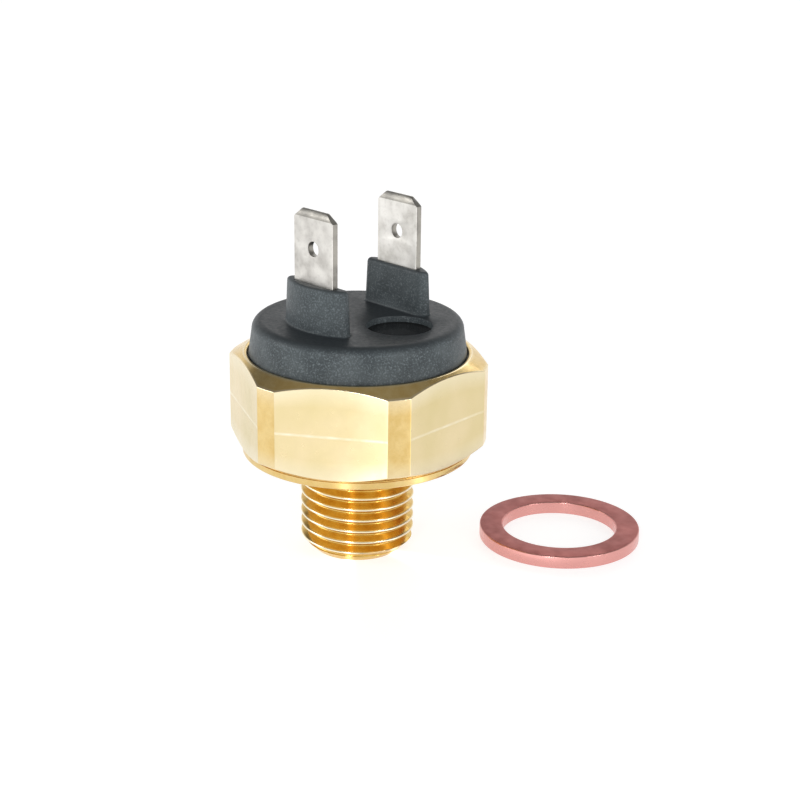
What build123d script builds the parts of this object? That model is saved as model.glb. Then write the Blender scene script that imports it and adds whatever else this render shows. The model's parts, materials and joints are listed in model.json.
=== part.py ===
from build123d import *
import os
from math import hypot, radians, sin, sqrt, tan

# A small brass pressure switch with two 6.3 mm tab terminals, and its loose copper washer.
# Millimetres. +Z is the screw axis, away from the thread. Z = 0 is the sealing face under the
# collar. X runs along the width of the tabs, Y from the left tab to the right one.

# ---- brass body: hexagon, turned collar and crimped rim ----
HEX_ACROSS_FLATS = 27.0
HEX_TURN = 4.6                # how far the hexagon stands turned from the tabs, degrees
CORNER_STAND = 2.8            # how much wider the skimmed corners are than the flats
COLLAR_INSET = 0.2
COLLAR_HEIGHT = 1.0
COLLAR_EDGE = 0.35
CHAMFER_ANGLE = 30.0
BODY_WALL = 0.65              # brass left outside the head's bore, at the flats
RIM_INSET = 0.5               # from the flats to the crest of the crimped rim
RIM_ROLL = 0.2                # how far the rim's inner edge dips below its crest
RIM_THICKNESS = 0.55

# ---- G 1/4 stub thread, cut as rings with flat crests ----
THREAD_MAJOR = 13.157
THREAD_PITCH = 1.337
THREAD_DEPTH = 0.856
THREAD_HALF_ANGLE = 27.5
THREAD_LENGTH = 12.0
THREAD_RELIEF = 1.1           # plain neck beside the collar
SEAT_UNDERCUT = 0.2           # cut into the sealing face round the neck, out to the washer's bore
END_CHAMFER = 1.4785
PORT_DIA = 4.0
PORT_CHAMFER = 0.4

# ---- pressure side, from the floor of the cavity up ----
CHAMBER_FLOOR = 3.0
CHAMBER_RADIUS = 7.2
CHAMBER_DEPTH = 0.6
SEAL_SECTION_WIDTH = 1.6
SEAL_SECTION_HEIGHT = 1.1
SEAL_INNER_RADIUS = 7.9
SEAL_ROUNDING = 0.3           # share of a seal's height that its corners are rounded to
DIAPHRAGM_THICKNESS = 0.25
DIAPHRAGM_BEAD = 0.3          # height of the moulded bead that lets the middle move
LOWER_STEP = 1.4              # from the guide's bore in to the lower one
PART_GAP = 0.1                # radial play of the loose rings in their bores
RING_HEIGHT = 2.75
RING_BORE_RADIUS = 7.8
RING_LIP_RADIUS = 6.9
RING_LIP_THICKNESS = 0.85
PLATE_RADIUS = 6.8
PLATE_THICKNESS = 0.9
PLATE_EDGE = 0.3
PLATE_NUB_RADIUS = 1.6
PLATE_NUB_HEIGHT = 0.3
DISC_THICKNESS = 0.2
DISC_DISH = 0.45
TOUCH_GAP = 0.05              # left between pieces that only touch under pressure

# ---- pin guide and push pin ----
GUIDE_STEP = 0.85             # from the head's bore in to the guide's
GUIDE_THICKNESS = 1.5
GUIDE_BOSS_RADIUS = 2.6
GUIDE_BOSS_DROP = 0.5
PIN_RADIUS = 1.0
PIN_FIT = 0.06
PIN_TIP = 0.3                 # height of the domed ends

# ---- black terminal head ----
FLANGE_STEP = 0.35            # how far the flange under the rim stands out of the head
FLANGE_THICKNESS = 2.35
SKIRT_HEIGHT = 0.9
RIM_PLAY = 0.05
DRUM_HEIGHT = 4.4             # from the flange's top face to the head's top
HEAD_DRAFT = 8.0
HEAD_EDGE = 1.1
ROOM_WALL = 1.7               # round the contact room under the head
ROOF_THICKNESS = 2.35
BOSS_END_WALL = 1.8           # beyond the ends of a tab
BOSS_FACE_WALL = 0.75         # between a tab and the boss's flat inner face
BOSS_END_DEPTH = 1.337        # length of a boss's flat ends
BOSS_HEIGHT = 5.1
BOSS_ROOT = 0.5               # how far a boss is sunk into the head before they are joined
BOSS_DRAFT = 2.5
BOSS_INNER_CORNER = 1.2
BOSS_OUTER_CORNER = 0.6
BOSS_EDGE = 0.45
RECESS_X = 5.4
RECESS_Y = 1.3
RECESS_DIA = 7.4
RECESS_DEPTH = 1.0
RESIN_DEPTH = 0.3

# ---- 6.3 x 0.8 tab terminals ----
TAB_WIDTH = 6.3
TAB_THICKNESS = 0.8
TAB_SPACING = 12.7
TAB_LENGTH = 8.2              # above the boss
TAB_CORNER_WIDE = 1.1
TAB_CORNER_HIGH = 1.0
TAB_BEVEL_HEIGHT = 0.85
TAB_BEVEL_DEPTH = 0.24
TAB_HOLE_DIA = 1.7
TAB_HOLE_FROM_TIP = 4.25
TAB_BEND = 0.6
INSERT_GAP = 0.02             # between a moulded-in piece and the plastic
LEFT_FOOT_REACH = 2.95        # from the middle of a tab in towards the screw axis
RIGHT_FOOT_REACH = 2.45

# ---- contacts ----
STROKE = 0.25                 # travel of the thrust plate and the push pin
RIVET_INSET = 1.05            # from the middle of a tab in to its rivet
PIVOT_FROM_RIVET = 1.4        # where the arm starts to bend
ARM_THICKNESS = 0.25
ARM_WIDTH = 4.0
ARM_TAIL = 0.9                # of the arm, outside its rivet
ARM_PLAY = 0.18               # room for the arm to swing between the foot and its rivet
ARM_JOGGLE = 1.0
ARM_LIP = 1.7                 # of the arm, beyond the middle of its contact
CONTACT_FROM_RIVET = 2.7
CONTACT_RADIUS = 1.3
CONTACT_HEIGHT = 0.5
CONTACT_SKIRT = 0.3           # upright part of a contact's height
CONTACT_SHANK = 0.6
CONTACT_TAIL_RADIUS = 0.9
CONTACT_MARGIN = 0.06
STRIP_THICKNESS = 0.4
STRIP_WIDTH = 4.0
STRIP_LIP = 2.4               # of the strip, beyond the middle of its contact
EAR_WIDTH = 2.2
EAR_OVERHANG = 1.2
RIVET_SHANK = 0.6
RIVET_HEAD_RADIUS = 1.1
RIVET_HEAD_HEIGHT = 0.5
RIVET_HEAD_EDGE = 0.25
RIVET_PLAY = 0.2

# ---- calibration screw under the resin ----
SCREW_RADIUS = 1.5
SCREW_FIT = 0.03
SCREW_LENGTH = 2.0
SCREW_TIP = 0.375             # chamfer of its tip
SLOT_WIDTH = 0.5
SLOT_DEPTH = 0.6
INSERT_WALL = 0.8

# ---- loose sealing washer, lying beside the switch ----
WASHER_PLAY = 0.343           # between the thread's crests and the washer's bore, across
WASHER_BAND = 2.75            # from its bore to its rim
WASHER_THICKNESS = 1.5
WASHER_EDGE = 0.12
WASHER_X = 15.0
WASHER_Y = 19.0

# ---- radii that follow from the sizes above ----
APOTHEM = HEX_ACROSS_FLATS / 2
CORNER_RADIUS = (HEX_ACROSS_FLATS + CORNER_STAND) / 2
COLLAR_RADIUS = APOTHEM - COLLAR_INSET
RIM_CREST_RADIUS = APOTHEM - RIM_INSET
HEAD_BORE_RADIUS = APOTHEM - BODY_WALL
GUIDE_BORE_RADIUS = HEAD_BORE_RADIUS - GUIDE_STEP
LOWER_BORE_RADIUS = GUIDE_BORE_RADIUS - LOWER_STEP
HEAD_RADIUS = HEAD_BORE_RADIUS - FLANGE_STEP
ROOM_RADIUS = HEAD_RADIUS - ROOM_WALL
CREST_RADIUS = THREAD_MAJOR / 2
ROOT_RADIUS = CREST_RADIUS - THREAD_DEPTH
END_FACE_RADIUS = CREST_RADIUS - END_CHAMFER
WASHER_BORE_RADIUS = (THREAD_MAJOR + WASHER_PLAY) / 2
WASHER_RADIUS = WASHER_BORE_RADIUS + WASHER_BAND
INSERT_RADIUS = SCREW_RADIUS + INSERT_WALL

# ---- places along Y that follow from the tabs ----
TAB_Y = TAB_SPACING / 2
RIVET_Y = TAB_Y - RIVET_INSET
ARM_PIVOT_Y = PIVOT_FROM_RIVET - RIVET_Y
CONTACT_Y = RIVET_Y - CONTACT_FROM_RIVET
BOSS_HALF_LENGTH = TAB_WIDTH / 2 + BOSS_END_WALL
BOSS_INNER_FACE = TAB_Y - TAB_THICKNESS / 2 - BOSS_FACE_WALL
BOSS_RADIUS = hypot(BOSS_HALF_LENGTH, BOSS_INNER_FACE + BOSS_END_DEPTH)

# ---- heights, from the floor of the cavity up ----
SEAT = CHAMBER_FLOOR + CHAMBER_DEPTH
RING_BOTTOM = SEAT + DIAPHRAGM_THICKNESS
GUIDE_BOTTOM = RING_BOTTOM + RING_HEIGHT
GUIDE_TOP = GUIDE_BOTTOM + GUIDE_THICKNESS
FLANGE_BOTTOM = GUIDE_TOP + SKIRT_HEIGHT
FLANGE_TOP = FLANGE_BOTTOM + FLANGE_THICKNESS
BODY_TOP = FLANGE_TOP + RIM_THICKNESS
HEAD_TOP = FLANGE_TOP + DRUM_HEIGHT
ROOF = HEAD_TOP - ROOF_THICKNESS
NUB_TOP = RING_BOTTOM + PLATE_THICKNESS + PLATE_NUB_HEIGHT
DISC_RIM_TOP = GUIDE_BOTTOM - RING_LIP_THICKNESS
DISC_CENTRE_TOP = DISC_RIM_TOP - DISC_DISH
PIN_BOTTOM = DISC_CENTRE_TOP + TOUCH_GAP
FOOT_BOTTOM = ROOF - TAB_THICKNESS
STRIP_BOTTOM = FOOT_BOTTOM - STRIP_THICKNESS
FIXED_FACE = STRIP_BOTTOM - CONTACT_HEIGHT
CONTACT_TRAVEL = STROKE * (CONTACT_Y - ARM_PIVOT_Y) / -ARM_PIVOT_Y
ARM_TOP = FIXED_FACE - CONTACT_TRAVEL - CONTACT_MARGIN - CONTACT_HEIGHT
ARM_BOTTOM = ARM_TOP - ARM_THICKNESS
ARM_TAB_TOP = FOOT_BOTTOM - ARM_PLAY
ARM_TAB_BOTTOM = ARM_TAB_TOP - ARM_THICKNESS
PIN_TOP = ARM_BOTTOM - TOUCH_GAP
BOSS_TOP = HEAD_TOP + BOSS_HEIGHT
TAB_TIP = BOSS_TOP + TAB_LENGTH
RECESS_FLOOR = HEAD_TOP - RECESS_DEPTH

BIG = 60.0                    # larger than the whole switch, for cutting shapes


def turned(points):
    """A solid of revolution about Z from (radius, height) points."""
    outline = Plane.XZ * make_face(Polyline(*points, close=True))
    return revolve(outline, Axis.Z)


def disc(radius, bottom, top, x=0.0, y=0.0):
    """A plain round bar standing on its lower face."""
    return Pos(x, y, bottom) * extrude(Circle(radius), top - bottom)


def block(x0, x1, y0, y1, z0, z1):
    """A rectangular block between two corners."""
    middle = Pos((x0 + x1) / 2, (y0 + y1) / 2, (z0 + z1) / 2)
    return middle * Box(x1 - x0, y1 - y0, z1 - z0)


def ring(inner, outer, bottom, top):
    """A flat ring about the screw axis."""
    return disc(outer, bottom, top) - disc(inner, bottom - 1, top + 1)


def rims_at(solid, height):
    """The round edges of a solid at one height."""
    return [e for e in solid.edges().filter_by(GeomType.CIRCLE) if abs(e.center().Z - height) < 1e-4]


def seal_ring(inner, width, bottom, height):
    """A rubber ring in its squeezed shape, filling its groove."""
    section = RectangleRounded(width, height, height * SEAL_ROUNDING)
    outline = Pos(inner + width / 2, bottom + height / 2) * section
    return revolve(Plane.XZ * outline, Axis.Z)


def domed_button(radius, base, height, direction):
    """A contact button: a flat-based dome with its base at one height."""
    dome = height - CONTACT_SKIRT
    sphere_radius = (radius ** 2 + dome ** 2) / (2 * dome)
    button = disc(radius, 0, height) & Pos(0, 0, height - sphere_radius) * Sphere(sphere_radius)
    if direction < 0:
        button = Rot(180, 0, 0) * button
    return Pos(0, 0, base) * button


# ---- brass body ----
def make_stub():
    """The threaded stub: ridges below the relief neck, turned down at its tip to the end face."""
    flank = THREAD_DEPTH * tan(radians(THREAD_HALF_ANGLE))
    land = (THREAD_PITCH - 2 * flank) / 2
    z = -THREAD_RELIEF
    points = [(0, SEAT_UNDERCUT), (ROOT_RADIUS, SEAT_UNDERCUT), (ROOT_RADIUS, z)]
    while z > -THREAD_LENGTH:
        points.append((CREST_RADIUS, z - flank))
        points.append((CREST_RADIUS, z - flank - land))
        points.append((ROOT_RADIUS, z - 2 * flank - land))
        z -= THREAD_PITCH
        points.append((ROOT_RADIUS, z))
    ridges = turned(points + [(0, z)])
    outside = CREST_RADIUS + 1
    lead = outside - END_FACE_RADIUS
    turned_down = turned([
        (0, 1), (outside, 1), (outside, lead - THREAD_LENGTH),
        (END_FACE_RADIUS, -THREAD_LENGTH), (0, -THREAD_LENGTH),
    ])
    return ridges & turned_down


def chamfer_ball(radius, height, side):
    """A large ball that turns the hexagon's corners down at the chamfer angle, outside one circle."""
    ball = (radius + CORNER_RADIUS) / 2 / sin(radians(CHAMFER_ANGLE))
    return Pos(0, 0, height - side * sqrt(ball ** 2 - radius ** 2)) * Sphere(ball)


def make_body():
    blank = turned([
        (0, SEAT_UNDERCUT), (WASHER_BORE_RADIUS, SEAT_UNDERCUT), (WASHER_BORE_RADIUS, 0),
        (COLLAR_RADIUS - COLLAR_EDGE, 0), (COLLAR_RADIUS, COLLAR_EDGE),
        (COLLAR_RADIUS, COLLAR_HEIGHT), (CORNER_RADIUS, COLLAR_HEIGHT),
        (CORNER_RADIUS, BODY_TOP), (RIM_CREST_RADIUS, BODY_TOP),
        (RIM_CREST_RADIUS - RIM_ROLL, BODY_TOP), (HEAD_RADIUS + RIM_PLAY, BODY_TOP - RIM_ROLL),
        (0, BODY_TOP - RIM_ROLL),
    ])
    outline = RegularPolygon(APOTHEM, 6, major_radius=False, rotation=30)
    hexagon = Rot(0, 0, HEX_TURN) * extrude(outline, BIG)
    blank &= chamfer_ball(RIM_CREST_RADIUS, BODY_TOP, 1)
    above_collar = disc(CORNER_RADIUS + 1, COLLAR_HEIGHT, BODY_TOP + 1)
    crowned_foot = above_collar & chamfer_ball(COLLAR_RADIUS, COLLAR_HEIGHT, -1)
    blank &= disc(COLLAR_RADIUS, -1, BODY_TOP) + crowned_foot
    body = (blank & hexagon) + make_stub()
    cavity = turned([
        (0, CHAMBER_FLOOR), (CHAMBER_RADIUS, CHAMBER_FLOOR), (CHAMBER_RADIUS, SEAT),
        (LOWER_BORE_RADIUS, SEAT), (LOWER_BORE_RADIUS, GUIDE_BOTTOM),
        (GUIDE_BORE_RADIUS, GUIDE_BOTTOM), (GUIDE_BORE_RADIUS, GUIDE_TOP),
        (HEAD_BORE_RADIUS, GUIDE_TOP), (HEAD_BORE_RADIUS, FLANGE_TOP),
        (HEAD_RADIUS + RIM_PLAY, FLANGE_TOP), (HEAD_RADIUS + RIM_PLAY, BODY_TOP), (0, BODY_TOP),
    ])
    groove_radius = SEAL_INNER_RADIUS + SEAL_SECTION_WIDTH
    groove = ring(SEAL_INNER_RADIUS, groove_radius, SEAT - SEAL_SECTION_HEIGHT, SEAT)
    port_radius = PORT_DIA / 2
    port = turned([
        (0, -THREAD_LENGTH), (port_radius + PORT_CHAMFER, -THREAD_LENGTH),
        (port_radius, PORT_CHAMFER - THREAD_LENGTH), (port_radius, CHAMBER_FLOOR + 1), (0, CHAMBER_FLOOR + 1),
    ])
    return body - cavity - groove - port


# ---- pressure side ----
def make_diaphragm():
    """A moulded rubber disc with one raised bead outside the thrust plate."""
    bead_centre = (PLATE_RADIUS + RING_BORE_RADIUS) / 2
    bead = (RING_BORE_RADIUS - PLATE_RADIUS) / 2 - PART_GAP
    top = RING_BOTTOM
    flat = disc(LOWER_BORE_RADIUS - PART_GAP, SEAT, top)
    outline = make_face(Polyline(
        (bead_centre - bead, top), (bead_centre - bead / 2, top + DIAPHRAGM_BEAD),
        (bead_centre + bead / 2, top + DIAPHRAGM_BEAD), (bead_centre + bead, top), close=True))
    return flat + revolve(Plane.XZ * outline, Axis.Z)


def make_thrust_plate():
    plate = disc(PLATE_RADIUS, RING_BOTTOM, RING_BOTTOM + PLATE_THICKNESS)
    plate = chamfer(rims_at(plate, RING_BOTTOM + PLATE_THICKNESS), PLATE_EDGE)
    return plate + disc(PLATE_NUB_RADIUS, RING_BOTTOM, NUB_TOP)


def make_snap_disc():
    """A thin disc dished towards the pressure side, its rim under the ring's lip."""
    rim_radius = RING_BORE_RADIUS - PART_GAP
    curve = (rim_radius ** 2 + DISC_DISH ** 2) / (2 * DISC_DISH)
    upper = Pos(0, 0, DISC_CENTRE_TOP + curve) * Sphere(curve)
    lower = Pos(0, 0, -DISC_THICKNESS) * upper
    return (disc(rim_radius, DISC_CENTRE_TOP - 1, DISC_RIM_TOP) & lower) - upper


def make_disc_ring():
    outer = LOWER_BORE_RADIUS - PART_GAP
    body = ring(RING_BORE_RADIUS, outer, RING_BOTTOM, DISC_RIM_TOP)
    return body + ring(RING_LIP_RADIUS, outer, DISC_RIM_TOP, GUIDE_BOTTOM)


def make_pin_guide():
    plate = disc(GUIDE_BORE_RADIUS - PART_GAP, GUIDE_BOTTOM, GUIDE_TOP)
    plate += disc(GUIDE_BOSS_RADIUS, GUIDE_BOTTOM - GUIDE_BOSS_DROP, GUIDE_BOTTOM)
    return plate - disc(PIN_RADIUS + PIN_FIT, GUIDE_BOTTOM - BIG, GUIDE_TOP + BIG)


def make_push_pin():
    """A ceramic pin with a dome at each end."""
    dome = (PIN_RADIUS ** 2 + PIN_TIP ** 2) / (2 * PIN_TIP)
    pin = disc(PIN_RADIUS, PIN_BOTTOM, PIN_TOP)
    long_dome = disc(dome, PIN_BOTTOM + dome, PIN_TOP - dome)
    long_dome += Pos(0, 0, PIN_BOTTOM + dome) * Sphere(dome)
    long_dome += Pos(0, 0, PIN_TOP - dome) * Sphere(dome)
    return pin & long_dome


# ---- terminals and contacts ----
def make_terminal(side, foot_reach):
    """A tab with its foot bent towards the middle; side is -1 for the left one, +1 for the right."""
    foot_end = TAB_Y - foot_reach
    inner = TAB_Y - TAB_THICKNESS / 2
    outer = TAB_Y + TAB_THICKNESS / 2
    bevel_start = TAB_TIP - TAB_BEVEL_HEIGHT
    edge_view = make_face(Polyline(
        (foot_end, FOOT_BOTTOM), (outer, FOOT_BOTTOM), (outer, bevel_start),
        (outer - TAB_BEVEL_DEPTH, TAB_TIP), (inner + TAB_BEVEL_DEPTH, TAB_TIP),
        (inner, bevel_start), (inner, ROOF), (foot_end, ROOF), close=True))
    bend = edge_view.vertices().sort_by_distance((outer, FOOT_BOTTOM, 0))[0]
    edge_view = fillet(bend, TAB_BEND)
    strip = extrude(Plane.YZ * edge_view, TAB_WIDTH / 2, both=True)
    half = TAB_WIDTH / 2
    front_view = make_face(Polyline(
        (-half, FOOT_BOTTOM), (half, FOOT_BOTTOM), (half, TAB_TIP - TAB_CORNER_HIGH),
        (half - TAB_CORNER_WIDE, TAB_TIP), (TAB_CORNER_WIDE - half, TAB_TIP),
        (-half, TAB_TIP - TAB_CORNER_HIGH), close=True))
    tab = strip & extrude(Plane.XZ * front_view, BIG, both=True)
    hole = Rot(90, 0, 0) * Cylinder(TAB_HOLE_DIA / 2, 2 * TAB_Y)
    tab -= Pos(0, TAB_Y, TAB_TIP - TAB_HOLE_FROM_TIP) * hole
    tab -= disc(RIVET_SHANK, FOOT_BOTTOM - 1, ROOF + 1, 0, RIVET_Y)
    if side < 0:
        tab = Rot(0, 0, 180) * tab
    return tab


def make_contact_arm():
    """A leaf that carries the moving contact, joggled down from its riveted end."""
    tail_end = -RIVET_Y - ARM_TAIL
    joggle_end = ARM_PIVOT_Y + ARM_JOGGLE
    free_end = CONTACT_Y + ARM_LIP
    edge_view = make_face(Polyline(
        (tail_end, ARM_TAB_TOP), (ARM_PIVOT_Y, ARM_TAB_TOP), (joggle_end, ARM_TOP),
        (free_end, ARM_TOP), (free_end, ARM_BOTTOM), (joggle_end - ARM_THICKNESS, ARM_BOTTOM),
        (ARM_PIVOT_Y - ARM_THICKNESS, ARM_TAB_BOTTOM), (tail_end, ARM_TAB_BOTTOM), close=True))
    arm = extrude(Plane.YZ * edge_view, ARM_WIDTH / 2, both=True)
    arm -= disc(RIVET_SHANK + RIVET_PLAY, ARM_TAB_BOTTOM - 1, ARM_TAB_TOP + 1, 0, -RIVET_Y)
    return arm - disc(CONTACT_SHANK, ARM_BOTTOM - 1, ARM_TOP + 1, 0, CONTACT_Y)


def make_moving_contact():
    button = domed_button(CONTACT_RADIUS, ARM_TOP, CONTACT_HEIGHT, 1)
    shank = disc(CONTACT_SHANK, ARM_BOTTOM, ARM_TOP)
    head = disc(CONTACT_TAIL_RADIUS, ARM_BOTTOM - ARM_THICKNESS, ARM_BOTTOM)
    return Pos(0, CONTACT_Y, 0) * (button + shank + head)


def make_fixed_strip():
    """The strip that holds the fixed contact, with an ear under the calibration screw."""
    half = STRIP_WIDTH / 2
    ear_end = RECESS_X + EAR_OVERHANG
    strip = block(-half, half, CONTACT_Y - STRIP_LIP, TAB_Y, STRIP_BOTTOM, FOOT_BOTTOM)
    ear_low = RECESS_Y - EAR_WIDTH / 2
    strip += block(0, ear_end, ear_low, ear_low + EAR_WIDTH, STRIP_BOTTOM, FOOT_BOTTOM)
    strip -= disc(RIVET_SHANK, STRIP_BOTTOM - 1, FOOT_BOTTOM + 1, 0, RIVET_Y)
    return strip - disc(CONTACT_SHANK, STRIP_BOTTOM - 1, FOOT_BOTTOM + 1, 0, CONTACT_Y)


def make_fixed_contact():
    button = domed_button(CONTACT_RADIUS, STRIP_BOTTOM, CONTACT_HEIGHT, -1)
    return Pos(0, CONTACT_Y, 0) * (button + disc(CONTACT_SHANK, STRIP_BOTTOM, FOOT_BOTTOM))


def make_rivet(y, head_top):
    """A rivet through a terminal's foot, its head below whatever it holds."""
    head = disc(RIVET_HEAD_RADIUS, head_top - RIVET_HEAD_HEIGHT, head_top, 0, y)
    head = chamfer(rims_at(head, head_top - RIVET_HEAD_HEIGHT), RIVET_HEAD_EDGE)
    return head + disc(RIVET_SHANK, head_top, ROOF, 0, y)


# ---- black head ----
def make_boss():
    """The right-hand boss: a slice of a round bar with rounded corners and tapered sides."""
    depth = BOSS_RADIUS - BOSS_INNER_FACE
    window = Pos(0, BOSS_INNER_FACE + depth) * Rectangle(2 * BOSS_HALF_LENGTH, 2 * depth)
    plan = Circle(BOSS_RADIUS) & window
    boss = extrude(Pos(0, 0, HEAD_TOP - BOSS_ROOT) * plan, BOSS_HEIGHT + BOSS_ROOT, taper=BOSS_DRAFT)
    upright = boss.edges().filter_by(lambda e: abs(e.tangent_at(0.5).Z) > 0.9).sort_by(Axis.Y)
    boss = fillet(upright[:2], BOSS_INNER_CORNER)
    boss = fillet(upright[2:], BOSS_OUTER_CORNER)
    top = boss.faces().sort_by(Axis.Z)[-1]
    return fillet(top.edges(), BOSS_EDGE)


def make_head():
    lean = DRUM_HEIGHT * tan(radians(HEAD_DRAFT))
    shell = turned([
        (0, GUIDE_TOP), (GUIDE_BORE_RADIUS - RIM_PLAY, GUIDE_TOP),
        (GUIDE_BORE_RADIUS - RIM_PLAY, FLANGE_BOTTOM), (HEAD_BORE_RADIUS - RIM_PLAY, FLANGE_BOTTOM),
        (HEAD_BORE_RADIUS - RIM_PLAY, FLANGE_TOP), (HEAD_RADIUS, FLANGE_TOP),
        (HEAD_RADIUS - lean, HEAD_TOP), (0, HEAD_TOP),
    ])
    shell = fillet(rims_at(shell, HEAD_TOP), HEAD_EDGE)
    boss = make_boss()
    shell += boss
    shell += Rot(0, 0, 180) * boss
    shell -= disc(ROOM_RADIUS, GUIDE_TOP - 1, ROOF)
    shell -= disc(RECESS_DIA / 2, RECESS_FLOOR, HEAD_TOP + 1, RECESS_X, RECESS_Y)
    shell -= disc(INSERT_RADIUS + INSERT_GAP, ROOF - 1, RECESS_FLOOR + 1, RECESS_X, RECESS_Y)
    half_width = TAB_WIDTH / 2 + INSERT_GAP
    half_thick = TAB_THICKNESS / 2 + INSERT_GAP
    for y in (-TAB_Y, TAB_Y):
        shell -= block(-half_width, half_width, y - half_thick, y + half_thick, ROOF - 1, BOSS_TOP + 1)
    return shell


def make_insert():
    bush = disc(INSERT_RADIUS, ROOF, RECESS_FLOOR, RECESS_X, RECESS_Y)
    return bush - disc(SCREW_RADIUS + SCREW_FIT, ROOF - 1, RECESS_FLOOR + 1, RECESS_X, RECESS_Y)


def make_screw():
    """A slotted grub screw whose tip stands on the strip's ear."""
    top = FOOT_BOTTOM + SCREW_LENGTH
    screw = disc(SCREW_RADIUS, FOOT_BOTTOM, top)
    screw = chamfer(rims_at(screw, FOOT_BOTTOM), SCREW_TIP)
    screw -= block(-BIG, BIG, -SLOT_WIDTH / 2, SLOT_WIDTH / 2, top - SLOT_DEPTH, top + 1)
    return Pos(RECESS_X, RECESS_Y, 0) * screw


def make_washer():
    bottom = -THREAD_LENGTH
    washer = ring(WASHER_BORE_RADIUS, WASHER_RADIUS, bottom, bottom + WASHER_THICKNESS)
    washer = chamfer(washer.edges().filter_by(GeomType.CIRCLE), WASHER_EDGE)
    return Pos(WASHER_X, WASHER_Y, 0) * washer


def make_all():
    return {
        "hex_body": make_body(),
        "diaphragm_seal": seal_ring(SEAL_INNER_RADIUS, SEAL_SECTION_WIDTH,
                                    SEAT - SEAL_SECTION_HEIGHT, SEAL_SECTION_HEIGHT),
        "diaphragm": make_diaphragm(),
        "thrust_plate": make_thrust_plate(),
        "snap_disc": make_snap_disc(),
        "disc_ring": make_disc_ring(),
        "pin_guide": make_pin_guide(),
        "push_pin": make_push_pin(),
        "head_seal": seal_ring(GUIDE_BORE_RADIUS, HEAD_BORE_RADIUS - GUIDE_BORE_RADIUS,
                               GUIDE_TOP, SKIRT_HEIGHT),
        "terminal_head": make_head(),
        "terminal_blade_left": make_terminal(-1, LEFT_FOOT_REACH),
        "terminal_blade_right": make_terminal(1, RIGHT_FOOT_REACH),
        "contact_arm": make_contact_arm(),
        "moving_contact": make_moving_contact(),
        "arm_rivet": make_rivet(-RIVET_Y, ARM_TAB_BOTTOM - ARM_PLAY),
        "fixed_strip": make_fixed_strip(),
        "fixed_contact": make_fixed_contact(),
        "strip_rivet": make_rivet(RIVET_Y, STRIP_BOTTOM),
        "screw_insert": make_insert(),
        "calibration_screw": make_screw(),
        "screw_seal": disc(RECESS_DIA / 2, RECESS_FLOOR, RECESS_FLOOR + RESIN_DEPTH, RECESS_X, RECESS_Y),
        "sealing_washer": make_washer(),
    }


os.makedirs("parts", exist_ok=True)
for node, solid in make_all().items():
    export_step(solid, "parts/" + node + ".step")
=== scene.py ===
# %% [markdown]
# # A brass pressure switch and its copper washer
# The switch screws into a pressure line. Two tin-plated tabs stand on a black moulded head, and the
# head is crimped into a brass hexagon. The copper ring that seals the thread lies beside it.
#
# We start from the engineering model. It fixes where everything is, so every size below is either
# read from it or is a detail too fine for it. Shapes are made in millimetres, because that is how
# such a part is drawn, and are scaled to metres at the end.

# %% Load the engineering model
import bpy
import bmesh
import json
from math import acos, atan2, cos, degrees, exp, hypot, log, pi, radians, sin, sqrt, tan
from mathutils import Matrix, Vector
from mathutils.geometry import delaunay_2d_cdt


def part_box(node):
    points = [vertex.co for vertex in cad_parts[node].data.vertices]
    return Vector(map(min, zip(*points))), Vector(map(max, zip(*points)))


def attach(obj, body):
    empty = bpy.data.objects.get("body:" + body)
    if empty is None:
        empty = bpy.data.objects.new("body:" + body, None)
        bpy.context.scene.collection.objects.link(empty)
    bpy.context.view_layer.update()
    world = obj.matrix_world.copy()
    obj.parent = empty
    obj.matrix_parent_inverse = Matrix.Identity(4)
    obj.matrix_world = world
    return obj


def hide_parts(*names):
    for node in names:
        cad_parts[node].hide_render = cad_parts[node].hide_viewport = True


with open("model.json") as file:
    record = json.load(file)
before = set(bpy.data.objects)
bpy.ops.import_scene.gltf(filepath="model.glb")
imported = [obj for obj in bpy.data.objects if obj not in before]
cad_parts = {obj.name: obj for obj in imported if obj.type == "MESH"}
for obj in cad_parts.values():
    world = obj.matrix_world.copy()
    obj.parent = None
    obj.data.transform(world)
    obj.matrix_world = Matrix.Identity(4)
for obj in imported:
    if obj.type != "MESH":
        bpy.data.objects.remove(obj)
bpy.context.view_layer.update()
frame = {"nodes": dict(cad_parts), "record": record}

MM = 0.001
mounts = {m["name"]: m for m in frame["record"]["mounts"]}

# %% [markdown]
# The main sizes come from the model. A spanner flat gives the hexagon's size and how far it is
# turned, the thread gives its own radius, and the boxes of the nodes give the heights.

# %% Main sizes, in millimetres


def box_mm(node):
    """The lowest and highest corners of a node, in millimetres."""
    low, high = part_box(node)
    return low / MM, high / MM


def mount_mm(name):
    """Where a mount is, in millimetres."""
    return Vector(mounts[name]["pos_m"]) / MM


flat = mount_mm("wrench_flat_a")
APOTHEM = hypot(flat.x, flat.y)
HEX_TURN = atan2(flat.y, flat.x)
body_low, body_high = box_mm("hex_body")
head_low, head_high = box_mm("terminal_head")
resin_low, resin_high = box_mm("screw_seal")
washer_low, washer_high = box_mm("sealing_washer")
CORNER_RADIUS = body_high.y
THREAD_RADIUS = mounts["thread"]["dims"]["r_mm"]
STUB_END = body_low.z
BODY_TOP = body_high.z
print("hexagon", round(2 * APOTHEM, 2), "mm, turned", round(degrees(HEX_TURN), 1), "degrees")

# %% [markdown]
# ## Floor, light and camera
# Bright metal has hardly any colour of its own to show: what we see in it is the room. So the room
# is set up first. A white table fills the flats of the hexagon with light, and a darker ceiling
# leaves the sloping top of the hexagon deep and brown. Large soft boxes at the front give
# the upright highlights on the thread.

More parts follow.
